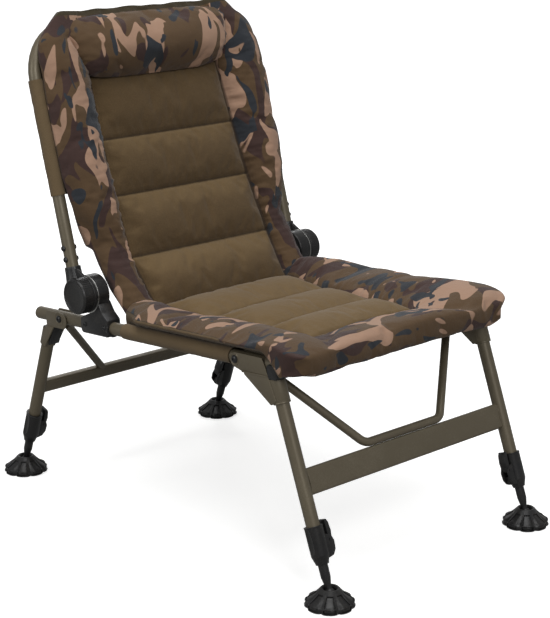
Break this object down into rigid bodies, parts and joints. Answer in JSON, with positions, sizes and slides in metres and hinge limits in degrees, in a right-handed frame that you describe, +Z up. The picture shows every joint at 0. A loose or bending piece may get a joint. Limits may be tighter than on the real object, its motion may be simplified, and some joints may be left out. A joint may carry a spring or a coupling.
{
  "type": "carp fishing chair",
  "caption": "Low reclining fishing chair: bent-tube frame on folding leg frames, telescopic legs with swivelling mud feet, and a quilted camouflage mattress with a head pillow.",
  "frame": {"origin": "on the ground, midway between the four feet", "axes": "+Z up, the sitter faces -Y, the sitter's left is +X"},
  "size_m": [0.5534, 0.87, 0.8307],
  "materials": {
    "frame_paint": "satin",
    "black_plastic": "matte",
    "washer_steel": "brushed",
    "dark_steel": "satin",
    "sling_fabric": "woven",
    "camo_fabric": "printed woven"
  },
  "bodies": {
    "seat_frame": {"seat_tube": "frame_paint", "rail_end_cap_right": "black_plastic", "rail_end_cap_left": "black_plastic", "seat_sling": "sling_fabric", "seat_pad": "camo_fabric", "knuckle_base_right": "black_plastic", "knuckle_base_left": "black_plastic", "knuckle_washer_right": "washer_steel", "knuckle_washer_left": "washer_steel", "knuckle_axle_right": "dark_steel", "knuckle_axle_left": "dark_steel", "front_pivot_bolt_right": "dark_steel", "front_pivot_bolt_left": "dark_steel", "rear_pivot_bolt_right": "dark_steel", "rear_pivot_bolt_left": "dark_steel"},
    "backrest": {"back_tube": "frame_paint", "knuckle_arm_right": "black_plastic", "knuckle_arm_left": "black_plastic", "lower_cross_bolt_right": "dark_steel", "lower_cross_bolt_left": "dark_steel", "upper_cross_bolt_right": "dark_steel", "upper_cross_bolt_left": "dark_steel", "back_sling": "sling_fabric", "back_pad": "camo_fabric", "lumbar_pad": "camo_fabric", "head_pillow": "camo_fabric"},
    "knob_right": {"recline_knob_right": "black_plastic"},
    "knob_left": {"recline_knob_left": "black_plastic"},
    "front_legs": {"front_leg_right": "frame_paint", "front_leg_left": "frame_paint", "front_brace": "frame_paint", "front_stay_bar": "frame_paint", "front_bracket_right": "frame_paint", "front_bracket_left": "frame_paint", "front_saddle_right": "black_plastic", "front_saddle_left": "black_plastic", "front_collar_right": "black_plastic", "front_collar_left": "black_plastic"},
    "rear_legs": {"rear_leg_right": "frame_paint", "rear_leg_left": "frame_paint", "rear_brace": "frame_paint", "rear_bracket_right": "frame_paint", "rear_bracket_left": "frame_paint", "rear_wedge_right": "black_plastic", "rear_wedge_left": "black_plastic", "rear_collar_right": "black_plastic", "rear_collar_left": "black_plastic"},
    "front_right_lever": {"front_lever_right": "black_plastic"},
    "front_left_lever": {"front_lever_left": "black_plastic"},
    "rear_right_lever": {"rear_lever_right": "black_plastic"},
    "rear_left_lever": {"rear_lever_left": "black_plastic"},
    "front_right_inner_leg": {"front_inner_leg_right": "black_plastic"},
    "front_left_inner_leg": {"front_inner_leg_left": "black_plastic"},
    "rear_right_inner_leg": {"rear_inner_leg_right": "black_plastic"},
    "rear_left_inner_leg": {"rear_inner_leg_left": "black_plastic"},
    "front_right_foot": {"front_foot_right": "black_plastic"},
    "front_left_foot": {"front_foot_left": "black_plastic"},
    "rear_right_foot": {"rear_foot_right": "black_plastic"},
    "rear_left_foot": {"rear_foot_left": "black_plastic"}
  },
  "joints": [
    {"name": "backrest_recline", "type": "hinge", "parent": "seat_frame", "child": "backrest", "pos_m": [0, 0.17599, 0.38203], "axis": [1, 0, 0], "range_deg": [-74, 75], "deforming": ["lumbar_pad"]},
    {"name": "knob_right_turn", "type": "hinge", "parent": "seat_frame", "child": "knob_right", "pos_m": [-0.266, 0.17599, 0.38203], "axis": [-1, 0, 0], "continuous": true},
    {"name": "knob_left_turn", "type": "hinge", "parent": "seat_frame", "child": "knob_left", "pos_m": [0.266, 0.17599, 0.38203], "axis": [1, 0, 0], "continuous": true},
    {"name": "front_legs_fold", "type": "hinge", "parent": "seat_frame", "child": "front_legs", "pos_m": [0, -0.19704, 0.35163], "axis": [1, 0, 0], "range_deg": [0, 82]},
    {"name": "rear_legs_fold", "type": "hinge", "parent": "seat_frame", "child": "rear_legs", "pos_m": [0, 0.259, 0.32054], "axis": [1, 0, 0], "range_deg": [-107, 0]},
    {"name": "front_right_leg_extend", "type": "slide", "parent": "front_legs", "child": "front_right_inner_leg", "axis": [0, -0.3535, -0.9354], "range_m": [0, 0.1]},
    {"name": "front_left_leg_extend", "type": "slide", "parent": "front_legs", "child": "front_left_inner_leg", "axis": [0, -0.3535, -0.9354], "range_m": [0, 0.1]},
    {"name": "rear_right_leg_extend", "type": "slide", "parent": "rear_legs", "child": "rear_right_inner_leg", "axis": [0, 0.3223, -0.9466], "range_m": [0, 0.1]},
    {"name": "rear_left_leg_extend", "type": "slide", "parent": "rear_legs", "child": "rear_left_inner_leg", "axis": [0, 0.3223, -0.9466], "range_m": [0, 0.1]},
    {"name": "front_right_cam_lever", "type": "hinge", "parent": "front_legs", "child": "front_right_lever", "pos_m": [-0.2145, -0.36773, 0.09483], "axis": [0, 0.9354, -0.3535], "range_deg": [0, 85]},
    {"name": "front_left_cam_lever", "type": "hinge", "parent": "front_legs", "child": "front_left_lever", "pos_m": [0.2145, -0.36773, 0.09483], "axis": [0, -0.9354, 0.3535], "range_deg": [0, 85]},
    {"name": "rear_right_cam_lever", "type": "hinge", "parent": "rear_legs", "child": "rear_right_lever", "pos_m": [-0.2145, 0.37018, 0.09573], "axis": [0, 0.9466, 0.3223], "range_deg": [0, 85]},
    {"name": "rear_left_cam_lever", "type": "hinge", "parent": "rear_legs", "child": "rear_left_lever", "pos_m": [0.2145, 0.37018, 0.09573], "axis": [0, -0.9466, -0.3223], "range_deg": [0, 85]},
    {"name": "front_right_foot_tilt", "type": "hinge", "parent": "front_right_inner_leg", "child": "front_right_foot", "pos_m": [-0.235, -0.39601, 0.02], "axis": [1, 0, 0], "range_deg": [-50, 9]},
    {"name": "front_left_foot_tilt", "type": "hinge", "parent": "front_left_inner_leg", "child": "front_left_foot", "pos_m": [0.235, -0.39601, 0.02], "axis": [1, 0, 0], "range_deg": [-50, 9]},
    {"name": "rear_right_foot_tilt", "type": "hinge", "parent": "rear_right_inner_leg", "child": "rear_right_foot", "pos_m": [-0.235, 0.39596, 0.02], "axis": [1, 0, 0], "range_deg": [-11, 48]},
    {"name": "rear_left_foot_tilt", "type": "hinge", "parent": "rear_left_inner_leg", "child": "rear_left_foot", "pos_m": [0.235, 0.39596, 0.02], "axis": [1, 0, 0], "range_deg": [-11, 48]}
  ]
}
